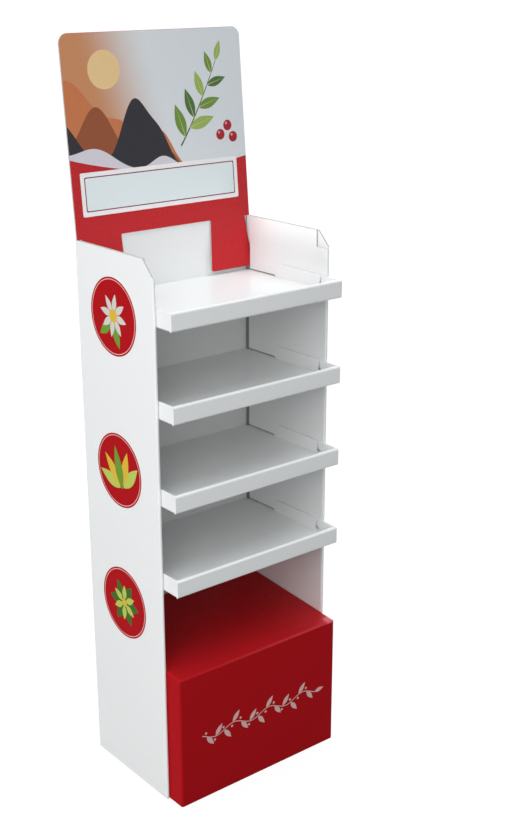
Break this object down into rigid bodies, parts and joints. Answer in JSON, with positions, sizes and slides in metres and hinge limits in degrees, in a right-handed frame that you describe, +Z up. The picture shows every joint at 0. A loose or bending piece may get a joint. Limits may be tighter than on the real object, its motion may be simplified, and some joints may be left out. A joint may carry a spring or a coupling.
{
  "type": "cardboard display stand",
  "caption": "Free-standing folded cardboard display: a white sleeve with lipped shelf trays hooked into its liners, a red plinth at the foot and a header card leaning back on top.",
  "frame": {"origin": "on the floor, below the middle of the stand's overall box", "axes": "+Z up; the open front with the shelf lips faces -Y; +X is to the right seen from the front"},
  "size_m": [0.4002, 0.3114, 1.411],
  "materials": {
    "white_board": "white coated corrugated board, soft gloss",
    "printed_board": "red printed and laminated corrugated board",
    "sticker": "glossy printed paper"
  },
  "bodies": {
    "root": {"sleeve": "white_board", "header_card": "printed_board", "shelf_tray_top": "white_board", "shelf_tray_second": "white_board", "shelf_tray_third": "white_board", "shelf_tray_lowest": "white_board", "base_plinth": "printed_board", "roundel_top": "sticker", "roundel_middle": "sticker", "roundel_bottom": "sticker"}
  },
  "joints": []
}
